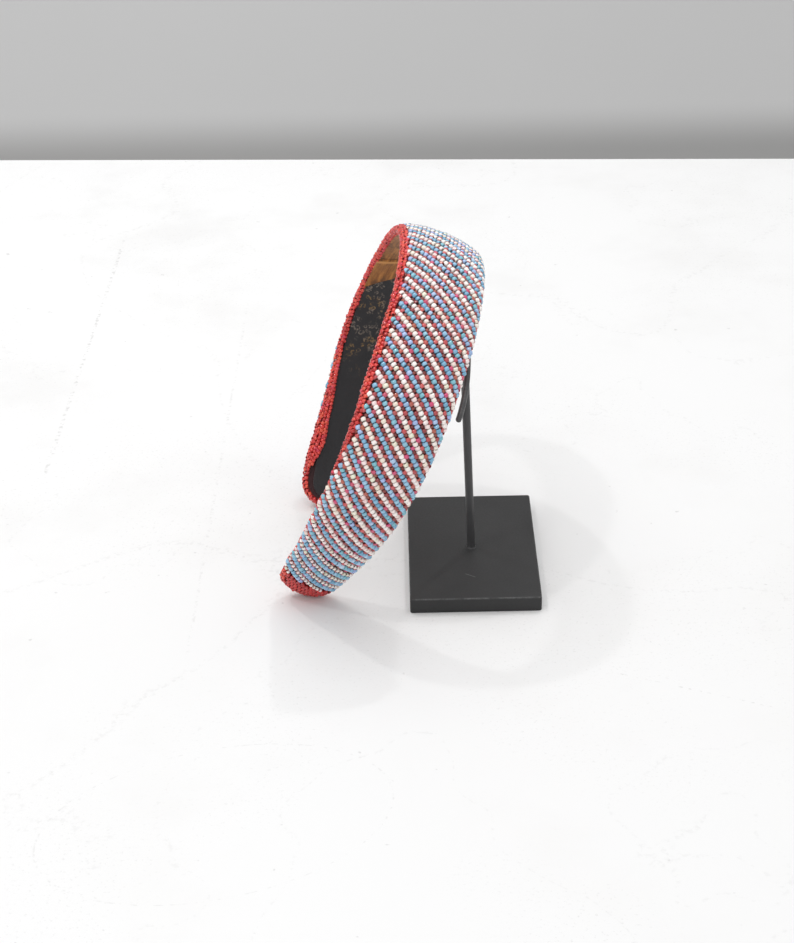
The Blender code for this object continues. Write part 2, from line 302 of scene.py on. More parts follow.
class Studio(PropertyGroup):
    """The table, the wall, the lights and the camera."""

    table: colour("Table", "White painted board", (0.86, 0.86, 0.86))
    wall: colour("Wall", "Light grey wall", (0.70, 0.70, 0.70))
    table_back: length("Table's back edge", "Behind the stand", 432.2)
    table_turn: angle("Table's turn", "Of that edge from the stand's", -2.8)
    lamps: number("Lamps", "Power in watts of each of the three small lamps", 1.5)
    front_light: number("Front light", "Power in watts of the wide light in front", 3.5)
    overhead: number("Overhead light", "Power in watts of the wide light above", 7.0)
    daylight: number("Daylight", "Strength of the even light all round", 0.64)
    pitch: angle("Camera pitch", "Downwards", 30.40)
    yaw: angle("Camera yaw", "To the left", 0.074)
    roll: angle("Camera roll", "Clockwise", 1.18)
    distance: length("Camera distance", "To the point it looks at", 871.0)
    target: FloatVectorProperty(
        name="Target",
        description="The point on the table in the middle of the picture",
        default=(-29.52 * MM, 70.22 * MM, 0.0),
        subtype="TRANSLATION",
    )
    lens: FloatProperty(
        name="Lens", description="Focal length for a 36 mm sensor", default=76.96, unit="CAMERA"
    )


class Band:
    """The headband's surface, by distance along it, across it towards the back, and outwards."""

    def __init__(self, shape):
        for name in BandShape.__annotations__:
            setattr(self, name, getattr(shape, name))
        self.crown_length = self.crown_radius * self.crown_half_angle
        self.half_length = self.crown_length + self.leg_radius * self.leg_angle
        self.tip_start = self.half_length - self.tip_length
        self.middle = self.edge_thickness / 2.0
        turns = Matrix.Rotation(shape.side_tilt, 4, "X") @ Matrix.Rotation(shape.turn, 4, "Z")
        placed = Matrix.Translation(shape.tips_middle) @ turns
        self.placed = placed @ Matrix.Rotation(shape.lean, 4, "Y")

    def angle_at(self, along):
        distance = abs(along)
        if distance < self.crown_length:
            turn = distance / self.crown_radius
        else:
            turn = self.crown_half_angle + (distance - self.crown_length) / self.leg_radius
        return math.copysign(turn, along)

    def centre_line(self, along):
        turn = abs(self.angle_at(along))
        crown = min(turn, self.crown_half_angle)
        leg = max(turn, self.crown_half_angle)
        last = self.crown_half_angle + self.leg_angle
        side = self.crown_radius * math.sin(crown)
        side += self.leg_radius * (math.sin(leg) - math.sin(self.crown_half_angle))
        height = self.crown_radius * (math.cos(crown) - math.cos(self.crown_half_angle))
        height += self.leg_radius * (math.cos(leg) - math.cos(last))
        return math.copysign(side, along), height

    def point(self, along, across, out):
        turn = self.angle_at(along)
        side, height = self.centre_line(along)
        back = across + self.twist * (along / self.half_length) ** 3
        local = Vector((back, side + out * math.sin(turn), height + out * math.cos(turn)))
        return self.placed @ local

    def outwards(self, along):
        turn = self.angle_at(along)
        return self.placed.to_3x3() @ Vector((0.0, math.sin(turn), math.cos(turn)))

    def half_width(self, along):
        share = min(abs(along) / self.half_length, 1.0)
        spread = self.half_width_crown - self.half_width_tip
        return self.half_width_tip + spread * (1.0 - share**self.taper_power)

    def rounding(self, along, inset):
        """How much of its width and height the band keeps towards a tip."""
        past = (abs(along) - self.tip_start) / (self.tip_length - inset)
        if past <= 0.0:
            return 1.0
        return max(0.0, 1.0 - past**self.tip_square) ** (1.0 / self.tip_square)

    def rise(self, along):
        """Height of the crest over the middle of the edges."""
        share = min(abs(along) / self.half_length, 1.0)
        full = self.pad_tip + (self.pad_crown - self.pad_tip) * (1.0 - share * share)
        return full - self.middle

    def edge(self, along, side):
        """Half the width up to the middle of the rolled edge, on the front side or the back."""
        set_in = down_leg(FRONT_SET_IN, along) if side < 0.0 else 0.0
        return self.half_width(along) - set_in * MM

    def skin(self, along, turned, sunk=0.0):
        """A point of the beads' outer face, turned round from the crest, or sunk under it."""
        kept = self.rounding(along, -self.roll_radius)
        reach = (self.edge(along, turned) + self.roll_radius) * kept - sunk
        round_edge = max(abs(turned) - math.pi / 2.0, 0.0)
        if round_edge:
            radius = self.roll_radius - sunk
            across = reach - radius * (1.0 - math.cos(round_edge))
            out = self.middle - radius * math.sin(round_edge)
        else:
            across = reach * math.sin(abs(turned))
            out = self.middle + (self.rise(along) * kept - sunk) * math.cos(turned)
        return self.point(along, math.copysign(across, turned), out)

    def skin_frame(self, along, turned):
        """The skin's two directions at a place, at their true lengths, and its normal."""
        step, swing = 0.2 * MM, 0.01
        down = (self.skin(along + step, turned) - self.skin(along - step, turned)) / (2.0 * step)
        over = (self.skin(along, turned + swing) - self.skin(along, turned - swing)) / (2.0 * swing)
        return down, over, over.cross(down).normalized()

    def along_of(self, share, inset):
        """Spreads -1 to 1 along the band, closer together round the tips."""
        reach = self.tip_length - inset
        straight = 0.9
        if abs(share) <= straight:
            return self.tip_start * share / straight
        bend = (abs(share) - straight) / (1.0 - straight) * math.radians(84.0)
        return math.copysign(self.tip_start + reach * math.sin(bend), share)


class Socket:
    """A node's output, on which arithmetic adds Math nodes."""

    def __init__(self, finish, output):
        self.finish = finish
        self.output = output

    def __add__(self, other):
        return self.finish.maths("ADD", self, other)

    def __radd__(self, other):
        return self.finish.maths("ADD", other, self)

    def __sub__(self, other):
        return self.finish.maths("SUBTRACT", self, other)

    def __rsub__(self, other):
        return self.finish.maths("SUBTRACT", other, self)

    def __mul__(self, other):
        return self.finish.maths("MULTIPLY", self, other)

    def __rmul__(self, other):
        return self.finish.maths("MULTIPLY", other, self)

    def __truediv__(self, other):
        return self.finish.maths("DIVIDE", self, other)

    def __abs__(self):
        return self.finish.maths("ABSOLUTE", self)


class Finish:
    """A material and its Principled shader, to which nodes are added."""

    def __init__(self, name, constants=None):
        self.material = bpy.data.materials.new(name)
        self.material.use_nodes = True
        self.tree = self.material.node_tree
        self.shader = self.tree.nodes["Principled BSDF"]
        for key, value in (constants or {}).items():
            self.shader.inputs[key].default_value = value

    def node(self, kind, settings=None, sockets=None, output=0):
        """Adds a node: its settings first, then its sockets' values or links."""
        made = self.tree.nodes.new(kind)
        for name, value in (settings or {}).items():
            if name == "stops":
                self.set_stops(made.color_ramp, value)
            else:
                setattr(made, name, value)
        for key, value in (sockets or {}).items():
            if isinstance(value, Socket):
                self.tree.links.new(value.output, made.inputs[key])
            else:
                made.inputs[key].default_value = value
        return Socket(self, made.outputs[output])

    def set_stops(self, ramp, stops):
        while len(ramp.elements) < len(stops):
            ramp.elements.new(1.0)
        for element, (place, value) in zip(ramp.elements, stops):
            element.position = place
            element.color = (*value, 1.0)

    def feed(self, name, socket):
        self.tree.links.new(socket.output, self.shader.inputs[name])

    def maths(self, operation, *values):
        return self.node("ShaderNodeMath", {"operation": operation}, dict(enumerate(values)))

    def place(self):
        return self.node("ShaderNodeTexCoord", output="Object")

    def attribute(self, name, output="Fac"):
        return self.node("ShaderNodeAttribute", {"attribute_name": name}, output=output)

    def parts_of(self, vector):
        outputs = self.node("ShaderNodeSeparateXYZ", sockets={0: vector}).output.node.outputs
        return [Socket(self, outputs[axis]) for axis in range(3)]

    def noise(self, vector, scale, detail=3.0, rough=0.5, output="Fac"):
        sockets = {"Vector": vector, "Scale": scale, "Detail": detail, "Roughness": rough}
        return self.node("ShaderNodeTexNoise", sockets=sockets, output=output)

    def stretched_noise(self, vector, scales, detail, rough):
        """Noise with a scale of its own along each axis."""
        turned = self.node("ShaderNodeMapping", sockets={"Vector": vector, "Scale": scales})
        return self.noise(turned, 1.0, detail, rough)

    def between(self, value, low, high, to_low=0.0, to_high=1.0):
        """A value's smooth passage from low to high."""
        sockets = {0: value, 1: low, 2: high, 3: to_low, 4: to_high}
        return self.node("ShaderNodeMapRange", {"interpolation_type": "SMOOTHSTEP"}, sockets)

    def blend(self, factor, first, second, kind="MIX"):
        settings = {"data_type": "RGBA", "blend_type": kind}
        sockets = {0: factor}
        for key, value in ((6, first), (7, second)):
            sockets[key] = value if isinstance(value, Socket) else (*value, 1.0)
        return self.node("ShaderNodeMix", settings, sockets, output=2)

    def ramp(self, value, stops):
        return self.node("ShaderNodeValToRGB", {"stops": stops}, {0: value})

    def bump(self, height, distance, strength=1.0, normal=None):
        sockets = {"Height": height, "Distance": distance, "Strength": strength}
        if normal is not None:
            sockets["Normal"] = normal
        return self.node("ShaderNodeBump", sockets=sockets)


def streak(finish, place, start, end, wide, strength):
    """A mask along a straight mark on a level face, in millimetres, that fades at its ends."""
    start, end = Vector(start) * MM, Vector(end) * MM
    x, y, _ = finish.parts_of(place)
    middle = (start + end) / 2.0
    reach = (end - start).length / 2.0
    onward = (end - middle) / reach
    lengthwise = (x - middle.x) * onward.x + (y - middle.y) * onward.y
    sideways = (y - middle.y) * onward.x - (x - middle.x) * onward.y
    across = finish.between(abs(sideways), wide * MM, 0.3 * wide * MM)
    return across * finish.between(abs(lengthwise), reach, 0.7 * reach) * strength


def tinted(value, *factors):
    """A colour made lighter or darker, by one factor or by one for each channel."""
    if len(factors) == 1:
        factors *= 3
    return tuple(min(channel * factor, 1.0) for channel, factor in zip(value, factors))


def bead_finish(beads, name):
    """Glass beads: each has its own tint, painted shade inside its hole and small ripples in its gloss.
    """
    colour_name, roughness, coat, shades = GLASS[name]
    glass = getattr(beads, colour_name)
    stops = [(at, tinted(glass, *factors)) for at, *factors in shades]
    finish = Finish(name, {"Coat Weight": coat, "Coat Roughness": 0.12, "IOR": 1.52})
    place = finish.place()
    hole = finish.attribute("hole")
    body = finish.ramp(finish.attribute("tint"), stops)
    cloud = finish.between(finish.noise(place, 900.0, 2.0), 0.35, 0.75, 0.0, 0.35)
    body = finish.blend(cloud, body, (1.0, 1.0, 1.0), "SOFT_LIGHT")
    # Painted shade: the inside of each bead's hole is darkened towards its darkest tint.
    finish.feed("Base Color", finish.blend(hole * 0.8, body, tinted(stops[0][1], 0.30)))
    smear = finish.noise(place, 420.0, 2.0)
    finish.feed("Roughness", roughness + 0.2 * smear + 0.4 * hole)
    finish.feed("Normal", finish.bump(finish.noise(place, 1500.0, 2.0), 0.03 * MM, 0.5))
    return finish.material


def weave(finish, laid, thread, body, shade, amount, height, under=None):
    """Lays over-and-under threads on a cloth: they shade its colour and stand up from it."""
    along, across, _ = finish.parts_of(laid)
    warp, weft = (finish.maths("SINE", way * (math.pi / thread)) for way in (along, across))
    crossed = warp * weft
    wander = finish.noise(laid, 0.25 / thread, 2.0)
    threads = 0.5 + 0.4 * crossed + 0.25 * (wander - 0.5)
    finish.feed("Base Color", finish.blend(threads * amount, body, shade))
    finish.feed("Normal", finish.bump(threads, height, 1.0, under))


def ground_finish(cloths):
    """Dark plain-woven cloth with a little fuzz."""
    finish = Finish("dark_ground_cloth", {"Sheen Weight": 0.3})
    laid = finish.attribute("laid", "Vector")
    cloud = finish.noise(laid, 120.0, 4.0)
    body = finish.blend(cloud, tinted(cloths.ground, 0.6), tinted(cloths.ground, 1.8, 1.4, 1.4))
    weave(finish, laid, 0.35 * MM, body, (0.008, 0.004, 0.005), 0.5, 0.08 * MM)
    finish.feed("Roughness", 0.82 + 0.15 * cloud)
    return finish.material


def ochre_finish(cloths):
    """Old golden-brown cloth: streaks along the band, darker stains, and a painted highlight along its
    fold's edge with a painted shadow line beside it.
    """
    finish = Finish("ochre_cloth", {"Sheen Weight": 0.25})
    laid = finish.attribute("laid", "Vector")
    fold = finish.attribute("fold")
    base = cloths.ochre
    streaks = finish.stretched_noise(laid, (120.0, 700.0, 1.0), 5.0, 0.65)
    stain = finish.stretched_noise(laid, (110.0, 150.0, 1.0), 4.0, 0.6)
    body = finish.ramp(streaks, [
        (0.30, tinted(base, 0.30, 0.24, 0.18)),
        (0.43, tinted(base, 0.68, 0.58, 0.40)),
        (0.53, tinted(base, 1.05, 0.95, 0.80)),
        (0.68, tinted(base, 1.55, 1.50, 1.45)),
    ])
    dark = finish.between(stain, 0.50, 0.62, 0.0, 0.80)
    body = finish.blend(dark, body, tinted(base, 0.30, 0.28, 0.28))
    # Painted highlight along the raised layer's folded edge.
    body = finish.blend(finish.between(fold, 0.5, 1.0), body, tinted(base, 1.75, 1.95, 2.3))
    # Painted shadow line where the raised layer steps down to the cloth under it.
    body = finish.blend(finish.between(fold, -0.5, -1.0), body, (0.022, 0.014, 0.008))
    creases = finish.bump(streaks, 0.25 * MM, 0.8)
    weave(finish, laid, 0.32 * MM, body, tinted(base, 0.3), 0.25, 0.06 * MM, creases)
    finish.feed("Roughness", 0.78 + 0.18 * streaks)
    return finish.material


def black_finish(cloths):
    """Black cloth; on its upper part small faded flowers lie in loose clusters."""
    finish = Finish("black_floral_cloth", {"Sheen Weight": 0.2})
    laid = finish.attribute("laid", "Vector")
    bloom = finish.attribute("bloom")
    base = cloths.black
    wander = finish.noise(laid, 260.0, 2.0)
    drift = finish.noise(laid, 330.0, 2.0, output="Color")
    shaken = finish.node(
        "ShaderNodeVectorMath",
        {"operation": "MULTIPLY_ADD"},
        {0: drift, 1: (0.0028, 0.0028, 0.0), 2: laid},
    )
    cells = finish.node(
        "ShaderNodeTexVoronoi",
        {"voronoi_dimensions": "2D"},
        {"Vector": shaken, "Scale": 1.0 / (2.6 * MM), "Randomness": 1.0},
    )
    petals = finish.between(cells, 0.12, 0.22) * finish.between(cells, 0.44, 0.32)
    heart = finish.between(cells, 0.12, 0.04)
    patches = finish.between(finish.noise(laid, 150.0, 2.0), 0.44, 0.54)
    flecks = finish.between(finish.noise(laid, 900.0, 3.0), 0.42, 0.56)
    shown = (petals + heart) * patches * flecks * bloom
    golden = finish.between(finish.noise(laid, 95.0, 1.0), 0.47, 0.58)
    flower = finish.blend(golden, tinted(cloths.floret, 0.85, 0.9, 1.0), (0.30, 0.18, 0.07))
    body = finish.blend(wander, tinted(base, 0.7), tinted(base, 1.7, 1.6, 1.5))
    body = finish.blend(shown * 0.85, body, flower)
    folds = finish.bump(wander, 0.2 * MM, 0.7)
    weave(finish, laid, 0.30 * MM, body, tinted(base, 0.4), 0.25, 0.06 * MM, folds)
    finish.feed("Roughness", 0.80 + 0.15 * wander)
    return finish.material


def thread_finish(beads):
    """Dark red thread and cloth under the edge beads."""
    finish = Finish("red_edge_thread")
    strands = finish.noise(finish.place(), 900.0, 3.0)
    dark, light = tinted(beads.edge_red, 0.10, 0.2, 0.2), tinted(beads.edge_red, 0.42, 0.4, 0.4)
    finish.feed("Base Color", finish.blend(strands, dark, light))
    finish.feed("Roughness", 0.75 + 0.2 * strands)
    finish.feed("Normal", finish.bump(strands, 0.1 * MM))
    return finish.material


def rubbed_steel(name, stand, shade, gloss, rubbed_at):
    """Black paint with fine grain, rubbed through where rubbed_at says; shade makes the paint lighter,
    which on the rods is painted light.
    """
    finish = Finish(name, {"Specular IOR Level": 0.4})
    place = finish.place()
    grain = finish.noise(place, 1400.0, 3.0)
    clouds = finish.noise(place, 60.0, 4.0, 0.6)
    scratch = finish.stretched_noise(place, (2200.0, 160.0, 2200.0), 3.0, 0.6)
    rubbed = rubbed_at(finish, place, grain)
    # shade lightens the black paint: on the post and the saddle this is painted light, standing in for
    # the light the round rods catch.
    paint = tinted(stand.paint, shade)
    body = finish.blend(clouds, tinted(paint, 0.8), tinted(paint, 1.35, 1.35, 1.32))
    marks = finish.between(scratch, 0.70, 0.78, 0.0, 0.35)
    body = finish.blend(marks, body, tinted(paint, 2.6))
    finish.feed("Base Color", finish.blend(rubbed, body, stand.bare))
    finish.feed("Roughness", gloss + 0.2 * grain - 0.1 * rubbed)
    finish.feed("Metallic", rubbed * 0.7)
    finish.feed("Normal", finish.bump(grain, 0.03 * MM, 0.7))
    return finish.material


def rod_wear(scales, patches, grains):
    """Where the paint of a rod is rubbed through, in patches drawn out along it."""

    def rubbed_at(finish, place, grain):
        worn = finish.stretched_noise(place, scales, 4.0, 0.7)
        return finish.between(worn, *patches) * finish.between(grain, *grains)

    return rubbed_at


def as_data(name, mesh):
    data = bpy.data.meshes.new(name)
    mesh.to_mesh(data)
    mesh.free()
    return data


def keep(name, mesh, material, smooth_angle=None):
    """Turns a bmesh into a finished piece that rides on the headband's body."""
    bmesh.ops.recalc_face_normals(mesh, faces=mesh.faces)
    return keep_data(name, as_data(name, mesh), material, smooth_angle)


def keep_data(name, data, material, smooth_angle=None):
    data.materials.clear()
    data.materials.append(material)
    data.shade_smooth()
    if smooth_angle is not None:
        data.set_sharp_from_angle(angle=math.radians(smooth_angle))
    piece = bpy.data.objects.new(name, data)
    bpy.context.scene.collection.objects.link(piece)
    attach(piece, BODY)
    return piece


def block(size, middle):
    """A box of that size round its middle."""
    mesh = bmesh.new()
    bmesh.ops.create_cube(mesh, size=1.0)
    bmesh.ops.scale(mesh, vec=size, verts=mesh.verts)
    bmesh.ops.translate(mesh, vec=middle, verts=mesh.verts)
    return mesh


def slab(place, rows, columns, marks=()):
    """A closed wall: a grid is thickened and each point (u, v, t) is put where place says.

    u and v go from -1 to 1 and t from 0 to 1. marks are names of values that place returns
    after the point, kept as attributes of the points.
    """
    mesh = bmesh.new()
    bmesh.ops.create_grid(mesh, x_segments=rows, y_segments=columns, size=1.0)
    grown = bmesh.ops.extrude_face_region(mesh, geom=list(mesh.faces))
    raised = [item for item in grown["geom"] if isinstance(item, bmesh.types.BMVert)]
    bmesh.ops.translate(mesh, vec=(0.0, 0.0, 1.0), verts=raised)
    laid = mesh.verts.layers.float_vector.new("laid")
    layers = [mesh.verts.layers.float.new(name) for name in marks]
    for vertex in mesh.verts:
        point, flat, *values = place(*vertex.co)
        vertex.co = point
        vertex[laid] = flat
        for layer, value in zip(layers, values):
            vertex[layer] = value
    return mesh


def tube(rings, sides, closed):
    """Skins circles, each a middle, a turn and a radius, into a ring or a rod with flat ends."""
    mesh = bmesh.new()
    last = len(rings) - 1
    loops = []
    for index, (centre, turn, radius) in enumerate(rings):
        made = bmesh.ops.create_circle(
            mesh, segments=sides, radius=radius, matrix=Matrix.Translation(centre) @ turn.to_4x4(),
            cap_ends=not closed and index in (0, last),
        )
        loops.append(made["verts"])
    for pair in zip(loops, loops[1:] + (loops[:1] if closed else [])):
        edges = [
            mesh.edges.get(ends) for loop in pair for ends in zip(loop, loop[1:] + loop[:1])
        ]
        bmesh.ops.bridge_loops(mesh, edges=edges)
    return mesh


def spin_round(mesh, points, edges, steps):
    bmesh.ops.spin(
        mesh, geom=points + edges, cent=(0, 0, 0), axis=(0, 0, 1), angle=2.0 * math.pi,
        steps=steps, use_merge=True,
    )


def bead_shape(name, radius, half, hole, steps, sides):
    """One bead about Z: a rounded loop, spun round the hole."""
    roundness = 0.8
    mesh = bmesh.new()
    hole_shade_mark = mesh.verts.layers.float.new("hole")
    middle = (radius + hole) / 2.0
    depth = (radius - hole) / 2.0
    loop = []
    for side in range(sides):
        turned = 2.0 * math.pi * (side + 0.5) / sides
        out, up = (
            math.copysign(abs(reach) ** roundness, reach)
            for reach in (math.cos(turned), math.sin(turned))
        )
        vertex = mesh.verts.new((middle + depth * out, 0.0, half * up))
        # The inside of the hole is marked, for the painted shade the glass puts there.
        vertex[hole_shade_mark] = 1.0 if out < 0.0 else 0.0
        loop.append(vertex)
    edges = [mesh.edges.new((one, other)) for one, other in zip(loop, loop[1:] + loop[:1])]
    spin_round(mesh, loop, edges, steps)
    bmesh.ops.recalc_face_normals(mesh, faces=mesh.faces)
    data = as_data(name, mesh)
    data.shade_smooth()
    return bpy.data.objects.new(name, data)


def stringing_nodes(shape):
    """Geometry nodes that set a bead on each point, turned and sized by its attributes."""
    group = bpy.data.node_groups.new("string_" + shape.name, "GeometryNodeTree")
    group.interface.new_socket("Geometry", in_out="INPUT", socket_type="NodeSocketGeometry")
    group.interface.new_socket("Geometry", in_out="OUTPUT", socket_type="NodeSocketGeometry")
    nodes, links = group.nodes, group.links
    start = nodes.new("NodeGroupInput")
    end = nodes.new("NodeGroupOutput")
    bead = nodes.new("GeometryNodeObjectInfo")
    bead.inputs["Object"].default_value = shape
    placing = nodes.new("GeometryNodeInstanceOnPoints")
    real = nodes.new("GeometryNodeRealizeInstances")
    for name, target in (("turned", "Rotation"), ("sized", "Scale")):
        read = nodes.new("GeometryNodeInputNamedAttribute")
        read.data_type = "FLOAT_VECTOR"
        read.inputs["Name"].default_value = name
        links.new(read.outputs["Attribute"], placing.inputs[target])
    links.new(start.outputs[0], placing.inputs["Points"])
    links.new(bead.outputs["Geometry"], placing.inputs["Instance"])
    links.new(placing.outputs["Instances"], real.inputs["Geometry"])
    links.new(real.outputs["Geometry"], end.inputs[0])
    return group


class Strung:
    """Beads still to be strung as one piece, with the small irregularities of handwork."""

    # The usual deviations of a bead's place, its two tilts in degrees, its width and its length.
    astray, tipped, swung, wider, longer = 0.05 * MM, 9.0, 7.0, 0.035, 0.06

    def __init__(self, seed):
        self.places = []
        self.chance = random.Random(seed)

    def add(self, centre, axis, facing, size=1.0, loose=1.0, tints=1.0):
        """A bead whose hole runs along axis; loose makes its place and tilts vary more."""
        chance = self.chance
        wobble = Vector([chance.gauss(0.0, self.astray * loose) for _ in range(3)])
        side = axis.cross(facing).normalized()
        up = side.cross(axis).normalized()
        turn = Matrix((side, up, axis.normalized())).transposed().to_quaternion()
        tip = math.radians(chance.gauss(0.0, self.tipped * loose))
        swing = math.radians(chance.gauss(0.0, self.swung * loose))
        turn = turn @ Quaternion((1, 0, 0), tip) @ Quaternion((0, 1, 0), swing)
        turn = turn @ Quaternion((0, 0, 1), chance.uniform(0.0, math.pi))
        wide = size * chance.gauss(1.0, self.wider)
        long = size * chance.gauss(1.0, self.longer)
        sizes = (wide, wide, long)
        self.places.append((centre + wobble, turn.to_euler(), sizes, tints * chance.random()))

    def finish(self, name, shape, material, slot):
        points = bpy.data.meshes.new(name + "_places")
        points.from_pydata([place[0] for place in self.places], [], [])
        for layer, kind, column in (("turned", "FLOAT_VECTOR", 1), ("sized", "FLOAT_VECTOR", 2)):
            values = [number for place in self.places for number in place[column]]
            points.attributes.new(layer, kind, "POINT").data.foreach_set("vector", values)
        tints = [place[3] for place in self.places]
        points.attributes.new("tint", "FLOAT", "POINT").data.foreach_set("value", tints)
        holder = bpy.data.objects.new(name + "_places", points)
        bpy.context.scene.collection.objects.link(holder)
        holder.modifiers.new("strung", "NODES").node_group = stringing_nodes(shape)
        bpy.context.view_layer.update()
        seen = holder.evaluated_get(bpy.context.evaluated_depsgraph_get())
        data = bpy.data.meshes.new_from_object(seen)
        bpy.data.objects.remove(holder)
        for layer in ("turned", "sized"):
            if layer in data.attributes:
                data.attributes.remove(data.attributes[layer])
        data.name = name
        return keep_data(name, data, material)


def settings():
    return bpy.context.scene.headband


def band():
    return Band(settings().band)


def row_slope(along, turned):
    """How far a row runs towards the near tip for each unit towards the back edge."""
    passage = math.radians(40.0)
    front = down_leg(FRONT_SLOPE, along)
    return front + (down_leg(BACK_SLOPE, along) - front) * eased(turned / passage + 0.5)


def cap_from(shape, beads, along, turned):
    """Where the red cap of a tip begins, at this angle round the profile."""
    return beads.cap_start + beads.cap_slant * shape.half_width(along) * math.sin(turned)


def in_face(shape, beads, along, turned):
    """Whether a bead's middle lies on the striped face."""
    if abs(along) > cap_from(shape, beads, along, turned):
        return False
    start = BACK_TRIM if turned > 0.0 else down_leg(FRONT_TRIM, along)
    return round_from_edge(shape, along, turned) <= (start - TRIM_GAP) * MM


def round_from_edge(shape, along, turned):
    """Distance round the profile from its outermost line to a place, plus towards the lining."""
    past = abs(turned) - math.pi / 2.0
    if past >= 0.0:
        return past * shape.roll_radius
    wide = shape.edge(along, turned) + shape.roll_radius
    high = shape.rise(along)
    steps = 8
    total = 0.0
    for step in range(steps):
        here = past * (step + 0.5) / steps
        total += math.hypot(wide * math.sin(here), high * math.cos(here))
    return total * past / steps


def walk_row(shape, middle, first, step, heading):
    """Places along one row from the crest line to the edge: the first, then each a step further."""
    along, turned = middle, 0.0
    stride = first
    places = []
    while abs(turned) < math.radians(140.0) and abs(along) < shape.half_length:
        here = (along, turned)
        for share in (0.5, 1.0):
            down, over, _ = shape.skin_frame(*here)
            slope = row_slope(*here)
            run = heading * stride * share / math.hypot(1.0, slope)
            here = (along - slope * run / down.length, turned + run / over.length)
        along, turned = here
        places.append(here)
        stride = step
    return places


def row_middle(beads, number):
    """Where a row crosses the crest line; white rows have whole numbers."""
    return beads.row_start - math.copysign(between_marks(WHITE_ROWS, abs(number)) * MM, number)


def row_direction(shape, along, turned):
    down, over, normal = shape.skin_frame(along, turned)
    return (over.normalized() - row_slope(along, turned) * down.normalized()).normalized(), normal


class HEADBAND_OT_padding(Operator):
    """Model the stuffed crescent in its dark ground cloth"""

    bl_idname = "headband.padding"
    bl_label = "Padding"

    def execute(self, context):
        shape = band()
        under_beads = 1.85 * MM
        lump_height, lump_size, lump_width = 0.16 * MM, 7.0 * MM, 14.0 * MM

        def place(u, v, t):
            along = shape.along_of(u, -shape.roll_radius + under_beads)
            turned = v * math.pi / 2.0
            lumps = lump_height * noise.noise(Vector((along, v * lump_width, 0.0)) / lump_size)
            outer = shape.skin(along, turned, under_beads - lumps)
            if t == 0.0:
                outward = shape.outwards(along)
                down = (outer - shape.point(along, 0.0, shape.lining)).dot(outward)
                outer -= outward * max(down, 0.0)
            return outer, (along, v * shape.half_width(along), 0.0)

        mesh = slab(place, rows=190, columns=22)
        finish = ground_finish(settings().cloths)
        piece = keep("stuffed_padding", mesh, finish, smooth_angle=50.0)
        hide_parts("padded_core")
        return {"FINISHED"}


class HEADBAND_OT_face_beads(Operator):
    """String the diagonal rows of white, blue and red beads over the outer face"""

    bl_idname = "headband.face_beads"
    bl_label = "Face beads"

    def execute(self, context):
        shape = band()
        beads = settings().beads
        pitch = beads.bead_pitch
        strung = {kind: Strung(beads.seed + index) for index, kind in enumerate(FACE_BEADS)}
        phase = 0.0
        before = None
        for row in range(-ROWS_A_SIDE, ROWS_A_SIDE + 1):
            middle = row_middle(beads, row / len(ROW_KINDS))
            down, _, _ = shape.skin_frame(middle, 0.0)
            slope = row_slope(middle, 0.0)
            moved = (middle - before) * down.length if before is not None else 0.0
            phase += moved * slope / math.hypot(1.0, slope)
            before = middle
            row_kind = ROW_KINDS[row % len(ROW_KINDS)]
            shifted = phase + (0.5 * pitch if row_kind == "red" else 0.0)
            first = shifted % pitch
            whole = round((shifted - first) / pitch)
            behind = walk_row(shape, middle, pitch - first, pitch, -1.0)
            ahead = walk_row(shape, middle, first, pitch, 1.0)
            for index, (along, turned) in enumerate(behind[::-1] + ahead, -len(behind)):
                if not in_face(shape, beads, along, turned):
                    continue
                odd = (index + whole + row // 2) % 2
                kind = "deep_red" if row_kind == "red" and odd else row_kind
                size, sunk = self.fit(beads, kind, clamp((abs(along) - CROWD_START) / CROWD_LENGTH))
                axis, normal = row_direction(shape, along, turned)
                strung[kind].add(shape.skin(along, turned) - sunk * normal, axis, normal, size)
        for kind, (sized_as, share, hole, steps, sides, glass) in FACE_BEADS.items():
            radius = getattr(beads, sized_as + "_radius") * share
            half = getattr(beads, sized_as + "_half")
            bead = bead_shape(kind + "_bead", radius, half, hole * MM, steps, sides)
            made = strung[kind].finish(
                kind + "_face_beads", bead, bead_finish(beads, glass), "face_beads"
            )
            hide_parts("bead_face")
        return {"FINISHED"}

    def fit(self, beads, kind, crowded):
        """A bead's size, and how deep its middle lies under the skin."""
        if kind == "white":
            size = 1.0 + CROWDED_WHITE * crowded
            return size, beads.bead_radius * size - PROUD
        if kind == "blue":
            return 1.0 + CROWDED_BLUE * crowded, beads.bead_radius - PROUD
        sunk = beads.bead_radius + beads.red_sunk + crowded * beads.tip_sunk
        if kind == "deep_red":
            sunk += beads.deep_sunk - beads.red_sunk
        return 1.0, sunk


def edge_route(shape, step):
    """Stations round the rolled edge: the roll's middle, its three directions, and its place."""
    straight = shape.tip_start
    marks = []
    count = round(2.0 * straight / step)
    bend_count = round(math.pi * shape.half_width(straight) / step)
    power = 2.0 / shape.tip_square
    for end in (1.0, -1.0):
        side = -end
        for index in range(count):
            along = end * (-straight + 2.0 * straight * index / count)
            marks.append((along, side * shape.edge(along, side), side))
        for index in range(bend_count):
            turned = math.pi * index / bend_count
            along = end * (straight + shape.tip_length * math.sin(turned) ** power)
            side_here = side if turned < math.pi / 2.0 else -side
            kept = abs(math.cos(turned)) ** power
            marks.append((along, side_here * shape.edge(along, side_here) * kept, side_here))
    centres = [shape.point(along, across, shape.middle) for along, across, _ in marks]
    stations = []
    for index, (along, _, side) in enumerate(marks):
        ahead = centres[(index + 1) % len(marks)]
        onward = (ahead - centres[index - 1]).normalized()
        outward = shape.outwards(along)
        outward = (outward - outward.dot(onward) * onward).normalized()
        aside = outward.cross(onward).normalized()
        stations.append(Station(centres[index], onward, outward, aside, along, side))
    return stations


